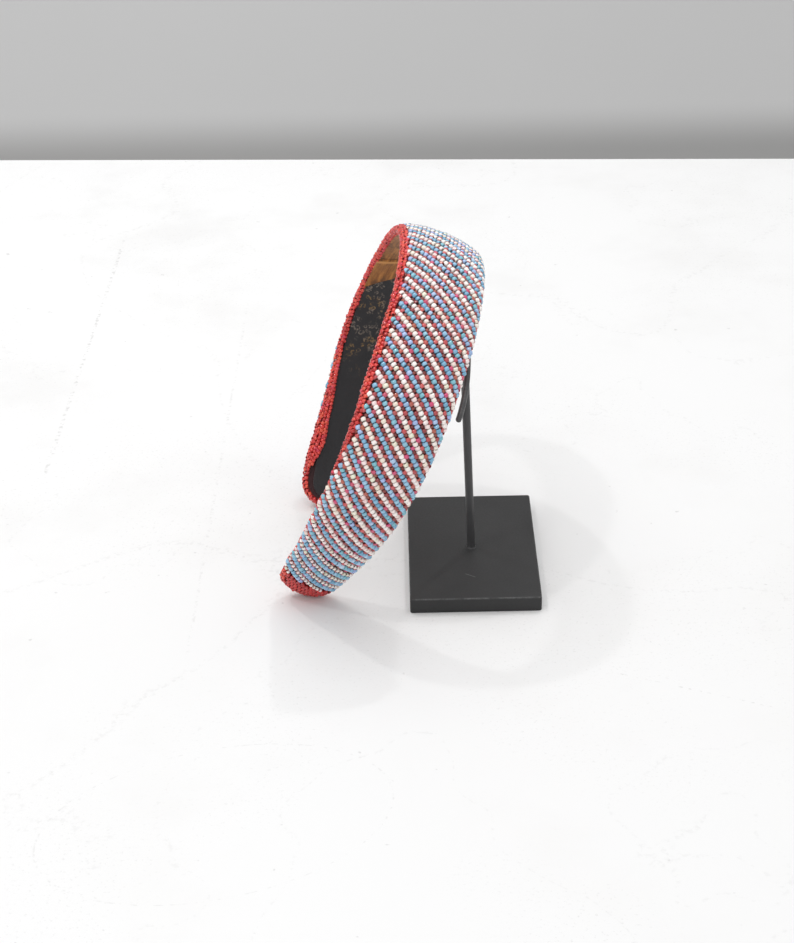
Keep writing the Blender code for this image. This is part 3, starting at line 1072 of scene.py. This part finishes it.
class Station(NamedTuple):
    """A place on the rolled edge, with the directions along, out of and away from the band."""

    centre: Vector
    onward: Vector
    outward: Vector
    aside: Vector
    along: float
    side: float

    def trim_start(self, shape, beads):
        if abs(self.along) > cap_from(shape, beads, self.along, self.side * math.pi / 2.0):
            return TIP_TRIM * MM
        if self.side > 0.0:
            return BACK_TRIM * MM
        return down_leg(FRONT_TRIM, self.along) * MM

    def place(self, shape, distance, sunk):
        """A point so far round the edge from its outermost line, its normal and the way round."""
        if distance >= 0.0:
            turned = distance / shape.roll_radius
            over = Vector((math.cos(turned), -math.sin(turned)))
            from_middle = over * shape.roll_radius
        else:
            wide = shape.half_width(self.along) + shape.roll_radius
            high = shape.rise(self.along) * shape.rounding(self.along, -shape.roll_radius)
            turned = 0.0
            steps = 10
            for _ in range(steps):
                run = math.hypot(wide * math.sin(turned), high * math.cos(turned))
                turned -= distance / steps / run
            over = Vector((math.cos(turned) / wide, math.sin(turned) / high)).normalized()
            out_of_side = wide * (1.0 - math.cos(turned))
            from_middle = Vector((shape.roll_radius - out_of_side, high * math.sin(turned)))
        seat = from_middle - over * sunk
        normal = over.x * self.aside + over.y * self.outward
        way_round = over.y * self.aside - over.x * self.outward
        return self.centre + seat.x * self.aside + seat.y * self.outward, normal, way_round


def cap_places(shape, beads, end):
    """Places of the red beads that cover the outer face of one tip."""
    pitch, spacing, shift, clear = 1.4 * MM, 1.5 * MM, 0.37 * MM, 0.4 * MM
    steep = shape.tip_start + 0.5 * shape.tip_length
    last = shape.tip_start + shape.tip_length - 0.3 * MM
    places = []
    along = beads.cap_start - beads.cap_slant * shape.half_width(beads.cap_start)
    row = 0
    while along < last:
        half = shape.half_width(along) * shape.rounding(along, 0.0)
        wide = shape.half_width(along) + shape.roll_radius
        wide *= shape.rounding(along, -shape.roll_radius)
        count = int(2.0 * half / spacing)
        for index in range(count + 1):
            across = (index - count / 2.0) * spacing + (shift if row % 2 else -shift)
            turned = math.asin(clamp(across / wide, -1.0))
            covered = along > cap_from(shape, beads, along, turned) + clear
            if covered and abs(across) <= half - 0.2 * MM:
                places.append((end * along, turned))
        along += 0.6 * pitch if along > steep else pitch
        row += 1
    return places


def inner_places(shape):
    """Places on the lining's side of the far leg's front edge, where the beadwork is wider."""
    pitch, aside, taper = 1.55 * MM, 1.4 * MM, 16.0 * MM
    overlap, stagger = 0.75 * MM, 0.7 * MM
    columns = ((104.0 * MM, 165.0 * MM), (121.0 * MM, 162.0 * MM), (141.0 * MM, 158.5 * MM))
    places = []
    for column, (first, last) in enumerate(columns):
        along = first
        while along < last:
            out = min((along - first) / taper, (last - along) / (0.5 * taper), 1.0)
            across = -shape.edge(along, -1.0) + (column + out) * aside - overlap
            places.append((along + (stagger if column % 2 else 0.0), across))
            along += pitch
    return places


class HEADBAND_OT_edge_beads(Operator):
    """Whip the red beads over the rolled edge and round both tips"""

    bl_idname = "headband.edge_beads"
    bl_label = "Edge beads"

    def execute(self, context):
        shape = band()
        beads = settings().beads
        fine = 8
        roll_each = 4
        stations = edge_route(shape, beads.edge_pitch / fine)
        start, last = 0.6 * beads.edge_radius, shape.roll_radius * math.pi / 2.0 + 0.4 * MM
        strung = {"near": Strung(beads.seed + 20), "far": Strung(beads.seed + 21)}
        for first in range(0, len(stations), fine):
            distance = stations[first].trim_start(shape, beads) + start
            while distance <= last:
                slant = distance / beads.edge_round * beads.edge_slant
                ahead = round(slant / beads.edge_pitch * fine)
                station = stations[(first + ahead) % len(stations)]
                centre, normal, way_round = station.place(shape, distance, beads.edge_radius)
                axis = way_round * beads.edge_round + station.onward * beads.edge_slant
                side = "near" if station.along < 0.0 else "far"
                strung[side].add(centre, axis, normal, loose=2.0)
                distance += beads.edge_round
        for side, end in (("near", -1.0), ("far", 1.0)):
            for along, turned in cap_places(shape, beads, end):
                _, over, normal = shape.skin_frame(along, turned)
                centre = shape.skin(along, turned) - beads.edge_radius * normal
                # Painted shade: the caps' beads take only the darker end of the glass's tints.
                strung[side].add(centre, over, normal, loose=1.3, tints=0.3)
        for along, across in inner_places(shape):
            inward = -shape.outwards(along)
            onward = shape.point(along + MM, across, 0.0) - shape.point(along - MM, across, 0.0)
            centre = shape.point(along, across, 0.25 * MM)
            strung["far"].add(centre, onward.cross(inward), inward, loose=1.3)
        bead = bead_shape(
            "edge_bead", beads.edge_radius, beads.edge_half, hole=0.28 * MM, steps=10, sides=5
        )
        finish = bead_finish(beads, "opaque_red_glass")
        for side, beads_of_side in strung.items():
            made = beads_of_side.finish(side + "_edge_beads", bead, finish, "edge_beads")
            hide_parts("edge_trim")
        self.roll(shape, beads, stations[::roll_each])
        return {"FINISHED"}

    def roll(self, shape, beads, stations):
        """The stuffed roll of thread and cloth that the beads are whipped over."""
        radius = shape.roll_radius - beads.edge_radius - 0.05 * MM
        rings = []
        for station in stations:
            turn = Matrix((station.aside, station.outward, station.onward)).transposed()
            rings.append((station.centre, turn, radius))
        mesh = tube(rings, sides=10, closed=True)
        piece = keep("edge_roll", mesh, thread_finish(beads))
        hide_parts("edge_trim")


def cloth_half(shape, cloths):
    """Half the width of the lining's cloths, from one hem to the other."""
    return shape.half_width(cloths.crown_reach) - (shape.roll_radius - CLOTH_TUCK)


def cloth_edge(cloths, across, side):
    return side * (cloths.crown_reach + cloths.crown_slant * across)


def cloth_point(shape, along, across, v, t, depth, ripple, sizes):
    """A point of a cloth that ripples between its hems, from its face, t 0, to its back."""
    length, width, start = sizes
    swell = ripple * noise.noise(Vector((along / length, across / width, start)))
    inner = depth - swell * min(1.0, 4.0 * (1.0 - abs(v)))
    outer = shape.lining - CLOTH_BACK
    return shape.point(along, across, inner + (outer - inner) * t), (along, across, 0.0)


class HEADBAND_OT_crown_cloth(Operator):
    """Lay the ochre cloth inside the crown, with its folded-over end"""

    bl_idname = "headband.crown_cloth"
    bl_label = "Crown cloth"

    def execute(self, context):
        shape = band()
        cloths = settings().cloths
        finish = ochre_finish(cloths)
        half = cloth_half(shape, cloths)
        depth, ripple, sizes = 0.42 * MM, 0.28 * MM, (9.0 * MM, 4.0 * MM, 0.0)
        fold_width, fold_from, fold_over = 0.5 * MM, 30.0 * MM, 10.0 * MM

        def place(u, v, t):
            across = half * v
            along = cloth_edge(cloths, across, u)
            past = along - (cloths.fold + cloths.fold_slant * across)
            raised = cloths.fold_height * eased(past / fold_width)
            raised *= clamp((along - fold_from) / fold_over)
            # The fold mark carries painted light: a painted highlight on the raised layer's folded edge,
            # and a painted shadow line just before the step.
            fold_highlight = math.exp(-(((past - 1.6 * MM) / (1.5 * MM)) ** 2))
            dark = math.exp(-(((past + 0.35 * MM) / (0.55 * MM)) ** 2))
            laid = cloth_point(shape, along, across, v, t, depth - raised, ripple, sizes)
            return *laid, fold_highlight - 1.2 * dark

        mesh = slab(place, rows=260, columns=22, marks=("fold",))
        piece = keep("ochre_crown_cloth", mesh, finish, smooth_angle=60.0)
        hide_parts("crown_lining")
        longest = 2.0 * abs(cloth_edge(cloths, -half, 1.0))
        area = 2.0 * half * 2.0 * cloths.crown_reach
        2.0 * half
        return {"FINISHED"}


class HEADBAND_OT_leg_cloths(Operator):
    """Lay the black cloth with small flowers inside both legs"""

    bl_idname = "headband.leg_cloths"
    bl_label = "Leg cloths"

    def execute(self, context):
        shape = band()
        cloths = settings().cloths
        finish = black_finish(cloths)
        inset = shape.roll_radius - CLOTH_TUCK
        half = cloth_half(shape, cloths)
        tip = shape.tip_start + (shape.tip_length - inset) * 0.97
        depth, ripple, sizes = 0.35 * MM, 0.3 * MM, (14.0 * MM, 5.0 * MM, 3.0)
        flowers_end, fade = 106.0 * MM, 16.0 * MM
        for name, side in (("near", -1.0), ("far", 1.0)):

            def place(u, v, t):
                start = abs(cloth_edge(cloths, half * v, side)) + cloths.seam
                share = max((u + 1.0) / 2.0, 0.0)
                distance = start + (tip - start) * math.sin(share * math.pi / 2.0) ** 0.9
                across = (shape.half_width(distance) - inset) * shape.rounding(distance, inset) * v
                laid = cloth_point(shape, side * distance, across, v, t, depth, ripple, sizes)
                return *laid, 1.0 - clamp((distance - flowers_end) / fade)

            mesh = slab(place, rows=150, columns=20, marks=("bloom",))
            piece = keep(name + "_leg_cloth", mesh, finish, smooth_angle=60.0)
            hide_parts(name + "_leg_lining")
            2.0 * half
            tip - abs(cloth_edge(cloths, half, side))
            self.area(shape, cloths, inset, tip)
        return {"FINISHED"}

    def area(self, shape, cloths, inset, tip):
        """The cut's flat area: strips across the leg from the crown's cloth to the tip."""
        strips = 200
        start = cloths.crown_reach + cloths.seam
        width = (tip - start) / strips
        total = 0.0
        for strip in range(strips):
            along = start + width * (strip + 0.5)
            total += 2.0 * (shape.half_width(along) - inset) * shape.rounding(along, inset) * width
        return total


class HEADBAND_OT_stand(Operator):
    """Model the stand's plate, post and saddle with their worn black paint"""

    bl_idname = "headband.stand"
    bl_label = "Stand"

    def execute(self, context):
        stand = settings().stand
        shape = band()
        self.plate(stand)
        self.post(shape, stand)
        self.saddle(shape, stand)
        return {"FINISHED"}

    def plate(self, stand):
        low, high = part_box("base_plate")
        size = high - low
        mesh = block(size, (low + high) / 2.0)
        for axes, offset, segments in (("xy", 1.0 * MM, 5), ("z", 0.35 * MM, 3)):
            chosen = [
                edge for edge in mesh.edges
                if all(getattr(edge.verts[0].co, a) == getattr(edge.verts[1].co, a) for a in axes)
            ]
            bmesh.ops.bevel(
                mesh, geom=chosen, offset=offset, segments=segments, profile=0.5, affect="EDGES",
                material=-1,
            )
        edge_in = 0.45 * MM

        def rubbed_at(finish, place, grain):
            x, y, z = finish.parts_of(place)
            from_side = abs(x) - (size.x / 2.0 - edge_in)
            from_end = abs(y) - (size.y / 2.0 - edge_in)
            nearest = finish.maths("MAXIMUM", from_side, from_end)
            at_edge = finish.between(nearest, -0.15 * MM, 0.25 * MM)
            at_top = finish.between(z, size.z - 0.7 * MM, size.z - 0.25 * MM)
            patchy = finish.between(finish.noise(place, 180.0, 4.0, 0.7), 0.38, 0.62, 0.15, 0.8)
            worn = at_edge * at_top * patchy * finish.between(grain, 0.3, 0.6, 0.5, 1.0)
            return worn + streak(finish, place, *PLATE_SCRATCH) * at_top

        paint = rubbed_steel("plate_paint", stand, shade=1.0, gloss=0.5, rubbed_at=rubbed_at)
        piece = keep("painted_plate", mesh, paint, smooth_angle=35.0)
        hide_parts("base_plate")

    def saddle_point(self, shape, stand, turned):
        sweep = math.sin(math.pi / 2.0 * turned / stand.saddle_end) ** 2
        across = stand.saddle_setback + stand.saddle_sweep * sweep
        return shape.point(shape.crown_radius * turned, across, -stand.saddle_depth)

    def post(self, shape, stand):
        """The upright rod, welded to the plate, with the solder round its top."""
        foot = Vector((stand.foot_x, stand.foot_y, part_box("base_plate")[1].z))
        head = self.saddle_point(shape, stand, stand.saddle_meets)
        length = (head - foot).length
        radius = stand.post_radius
        outline = [
            (0.0, length + 0.4 * MM),
            (radius * 0.75, length + 0.3 * MM),
            (radius * 1.12, length - 0.2 * MM),
            (radius * 1.14, length - 0.8 * MM),
            (radius, length - 1.6 * MM),
            (radius, 0.7 * MM),
            *((out * MM, up * MM) for out, up in WELD),
            (0.0, 0.0),
        ]
        mesh = bmesh.new()
        points = [mesh.verts.new((out, 0.0, up)) for out, up in outline]
        edges = [mesh.edges.new(pair) for pair in zip(points, points[1:])]
        spin_round(mesh, points, edges, steps=40)
        bmesh.ops.remove_doubles(mesh, verts=mesh.verts, dist=0.001 * MM)
        shafts = [
            edge for edge in mesh.edges
            if abs(edge.verts[0].co.z - edge.verts[1].co.z) > 0.5 * length
        ]
        bmesh.ops.subdivide_edges(mesh, edges=shafts, cuts=40, use_grid_fill=True)
        for vertex in mesh.verts:
            if vertex.co.z < 0.6 * MM and vertex.co.xy.length > radius:
                ripple = 1.0 + 0.10 * noise.noise(vertex.co / (0.9 * MM))
                vertex.co.x *= ripple
                vertex.co.y *= ripple
        upright = Vector((0.0, 0.0, 1.0)).rotation_difference(head - foot).to_matrix().to_4x4()
        bmesh.ops.transform(mesh, matrix=Matrix.Translation(foot) @ upright, verts=mesh.verts)
        wear = rod_wear((150.0, 150.0, 45.0), patches=(0.56, 0.72, 0.0, 0.35), grains=(0.35, 0.6))
        # Painted light: the post's paint is the plate's black made 2.2 times lighter, for the light the
        # round rod catches.
        paint = rubbed_steel("post_paint", stand, shade=2.2, gloss=0.25, rubbed_at=wear)
        piece = keep("painted_post", mesh, paint, smooth_angle=50.0)
        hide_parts("post_and_saddle")

    def saddle(self, shape, stand):
        """The bent rod with rounded ends, rubbed through where the headband slides on it; its paint is
        painted lighter than the plate's, as painted light.
        """
        steps = 60
        nose = (0.0, 0.35, 0.62, 0.83, 0.95, 1.0)
        radius = stand.saddle_radius
        turns = [stand.saddle_end * (2.0 * step / steps - 1.0) for step in range(steps + 1)]
        route = [(self.saddle_point(shape, stand, turned), 1.0) for turned in turns]
        for _ in range(2):
            (tip, _), (before, _) = route[:2]
            heading = (tip - before).normalized()
            route[:1] = [
                (tip + heading * radius * (math.sqrt(1.0 - share * share) - 1.0), max(share, 0.02))
                for share in nose
            ]
            route.reverse()
        rings = []
        for index, (centre, share) in enumerate(route):
            ahead = route[min(index + 1, len(route) - 1)][0]
            behind = route[max(index - 1, 0)][0]
            turn = (ahead - behind).to_track_quat("Z", "X").to_matrix()
            rings.append((centre, turn, radius * share))
        wear = rod_wear((120.0, 120.0, 60.0), patches=(0.42, 0.58, 0.1, 0.75), grains=(0.3, 0.55))
        # Painted light: the saddle's paint is the plate's black made 2.4 times lighter, for the light
        # the round rod catches.
        paint = rubbed_steel("saddle_paint", stand, shade=2.4, gloss=0.25, rubbed_at=wear)
        mesh = tube(rings, sides=16, closed=False)
        piece = keep("painted_saddle", mesh, paint, smooth_angle=50.0)
        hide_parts("post_and_saddle")


def stage_piece(name, mesh, material):
    data = as_data(name, mesh)
    data.materials.append(material)
    item = bpy.data.objects.new(name, data)
    bpy.context.scene.collection.objects.link(item)
    return item


class HEADBAND_OT_studio(Operator):
    """Set up the white table, the grey wall, the soft lights and the camera"""

    bl_idname = "headband.studio"
    bl_label = "Studio"

    def execute(self, context):
        studio = settings().studio
        self.table(studio)
        self.wall(studio)
        self.lights(studio)
        self.camera(studio)
        return {"FINISHED"}

    def table(self, studio):
        width, front, thick = 3.2, 1.4, 0.03
        back = studio.table_back
        middle = ((back - front) / 2.0, -thick / 2.0 - 0.02 * MM)
        mesh = block((width, front + back, thick), (0.0, *middle))
        bmesh.ops.rotate(
            mesh, cent=(-30.0 * MM, back, 0.0), verts=mesh.verts,
            matrix=Matrix.Rotation(studio.table_turn, 3, "Z"),
        )
        finish = Finish("white_board", {"Specular IOR Level": 0.3})
        place = finish.place()
        x, y, _ = finish.parts_of(place)
        white = studio.table
        # Painted light: the board is painted lighter towards the back and darker towards the front and
        # towards the right.
        body = finish.blend(finish.between(y, 0.40, -0.15), tinted(white, 1.06), tinted(white, 0.98))
        body = finish.blend(finish.between(x, -0.35, 0.30, 0.0, 0.5), body, tinted(white, 0.94))
        clouds = finish.between(finish.noise(place, 11.0, 5.0, 0.6), 0.45, 0.7, 0.0, 0.6)
        body = finish.blend(clouds, body, tinted(white, 0.94, 0.935, 0.93))
        grey, chip = (0.30, 0.29, 0.28), (0.25, 0.24, 0.24)
        flecks = finish.between(finish.noise(place, 420.0, 3.0, 0.6), 0.50, 0.62)
        squeezed = finish.node("ShaderNodeMapping", sockets={"Vector": place, "Scale": (1.0, 0.8, 1.0)})
        for scale, detail, thin, strength in ((3.2, 2.0, 0.0035, 0.10), (7.5, 3.0, 0.004, 0.08)):
            vein = finish.between(abs(finish.noise(squeezed, scale, detail) - 0.5), thin, 0.0)
            body = finish.blend(vein * flecks * strength, body, grey)
        for scuff in TABLE_SCUFFS:
            body = finish.blend(streak(finish, place, *scuff) * flecks, body, grey)
        body = finish.blend(self.loop(finish, x, y) * flecks * 0.16, body, grey)
        gritty = finish.between(finish.noise(place, 9.0, 2.0), 0.40, 0.60)
        grit = finish.between(finish.noise(place, 800.0, 2.0, 0.6), 0.60, 0.70) * gritty
        body = finish.blend(grit * 0.14, body, grey)
        chips = finish.between(finish.noise(place, 190.0, 2.0, 0.5), 0.74, 0.78)
        finish.feed("Base Color", finish.blend(chips * 0.25, body, chip))
        finish.feed("Roughness", 0.55 + 0.1 * finish.noise(place, 60.0, 2.0))
        stage_piece("table", mesh, finish.material)

    def loop(self, finish, x, y):
        """A faint oval scuff on the table in front of the headband."""
        middle, reach = (-92.0 * MM, -158.0 * MM), (61.0 * MM, 38.0 * MM)
        turned, thin = math.radians(17.5), 0.02
        out, ahead = x - middle[0], y - middle[1]
        along = (out * math.cos(turned) + ahead * math.sin(turned)) / reach[0]
        across = (ahead * math.cos(turned) - out * math.sin(turned)) / reach[1]
        return finish.between(abs(along * along + across * across - 1.0), thin, 0.0)

    def wall(self, studio):
        distance, width, height, top = 1.3, 6.0, 2.4, 0.6
        mesh = bmesh.new()
        turn = Matrix.Rotation(math.pi / 2.0, 4, "X")
        bmesh.ops.create_grid(mesh, x_segments=1, y_segments=1, size=0.5, matrix=turn)
        bmesh.ops.scale(mesh, vec=(width, 1.0, height), verts=mesh.verts)
        bmesh.ops.translate(mesh, vec=(0.0, distance, top - height / 2.0), verts=mesh.verts)
        finish = Finish("grey_wall", {"Roughness": 0.9})
        place = finish.place()
        x, _, z = finish.parts_of(place)
        grey = studio.wall
        # Painted shade: the wall is darker towards the right, and much darker in the low strip that
        # shows just above the table's back edge.
        right = finish.between(x, -0.45, 0.40)
        upper = finish.blend(right, grey, tinted(grey, 0.93))
        low = finish.blend(right, tinted(grey, 0.63, 0.625, 0.62), tinted(grey, 0.56, 0.557, 0.553))
        body = finish.blend(finish.between(z, -0.340, -0.285), low, upper)
        mottle = finish.noise(place, 14.0, 4.0, 0.6)
        finish.feed("Base Color", finish.blend(mottle * 0.05, body, (0.45, 0.44, 0.42)))
        stage_piece("wall", mesh, finish.material)

    def lights(self, studio):
        small, wide = 0.05, 1.5
        for name, power, way, distance, size in (
            ("back_left_lamp", studio.lamps, (-0.41, 0.26, 1.0), 1.3, small),
            ("front_left_lamp", studio.lamps, (-0.41, -0.27, 1.0), 1.3, small),
            ("back_right_lamp", studio.lamps, (0.26, 0.38, 1.0), 1.3, small),
            ("front_window", studio.front_light, (-0.35, -1.2, 0.85), 1.2, wide),
            ("ceiling", studio.overhead, (-0.05, 0.0, 1.0), 1.3, wide),
        ):
            light = bpy.data.lights.new(name, "AREA")
            light.shape = "DISK"
            light.size = size
            light.energy = power
            item = bpy.data.objects.new(name, light)
            item.location = Vector(way) * distance
            item.rotation_mode = "QUATERNION"
            item.rotation_quaternion = Vector(way).to_track_quat("Z", "Y")
            bpy.context.scene.collection.objects.link(item)
        world = bpy.data.worlds.new("daylight")
        world.use_nodes = True
        sky = world.node_tree.nodes["Background"]
        sky.inputs["Color"].default_value = (0.985, 0.985, 0.985, 1.0)
        sky.inputs["Strength"].default_value = studio.daylight
        bpy.context.scene.world = world
        bpy.context.scene.view_settings.view_transform = "Standard"

    def camera(self, studio):
        ahead = Vector((
            -math.sin(studio.yaw) * math.cos(studio.pitch),
            math.cos(studio.yaw) * math.cos(studio.pitch),
            -math.sin(studio.pitch),
        ))
        data = bpy.data.cameras.new("camera")
        data.lens = studio.lens
        data.sensor_width = 36.0
        data.clip_start = 0.01
        camera = bpy.data.objects.new("camera", data)
        camera.location = Vector(studio.target) - ahead * studio.distance
        camera.rotation_mode = "QUATERNION"
        camera.rotation_quaternion = ahead.to_track_quat("-Z", "Y") @ Quaternion((0, 0, 1), -studio.roll)
        bpy.context.scene.collection.objects.link(camera)
        bpy.context.scene.camera = camera


class Headband(PropertyGroup):
    """Everything that a user would change, in groups."""

    band: PointerProperty(name="Band", description="The headband's shape", type=BandShape)
    beads: PointerProperty(name="Beads", description="The beadwork", type=Beadwork)
    cloths: PointerProperty(name="Cloths", description="The cloths", type=Cloths)
    stand: PointerProperty(name="Stand", description="The display stand", type=Stand)
    studio: PointerProperty(name="Studio", description="The stage and lights", type=Studio)


PIECES = (
    HEADBAND_OT_padding,
    HEADBAND_OT_face_beads,
    HEADBAND_OT_edge_beads,
    HEADBAND_OT_crown_cloth,
    HEADBAND_OT_leg_cloths,
    HEADBAND_OT_stand,
    HEADBAND_OT_studio,
)


class HEADBAND_PT_sidebar(Panel):
    """Lists the pieces in the order they are made"""

    bl_idname = "HEADBAND_PT_sidebar"
    bl_label = "Beaded headband"
    bl_space_type = "VIEW_3D"
    bl_region_type = "UI"
    bl_category = "Headband"

    def draw(self, context):
        for operator in PIECES:
            self.layout.operator(operator.bl_idname)
        for group in Headband.__annotations__:
            box = self.layout.box()
            values = getattr(context.scene.headband, group)
            box.label(text=group.title())
            for name in type(values).__annotations__:
                box.prop(values, name)


CLASSES = (BandShape, Beadwork, Cloths, Stand, Studio, Headband, *PIECES, HEADBAND_PT_sidebar)


def register():
    for item in CLASSES:
        bpy.utils.register_class(item)
    bpy.types.Scene.headband = PointerProperty(type=Headband)


def unregister():
    del bpy.types.Scene.headband
    for item in reversed(CLASSES):
        bpy.utils.unregister_class(item)


def main():
    register()
    bpy.ops.headband.padding()
    bpy.ops.headband.face_beads()
    bpy.ops.headband.edge_beads()
    bpy.ops.headband.crown_cloth()
    bpy.ops.headband.leg_cloths()
    bpy.ops.headband.stand()
    bpy.ops.headband.studio()


if __name__ == "__main__":
    main()
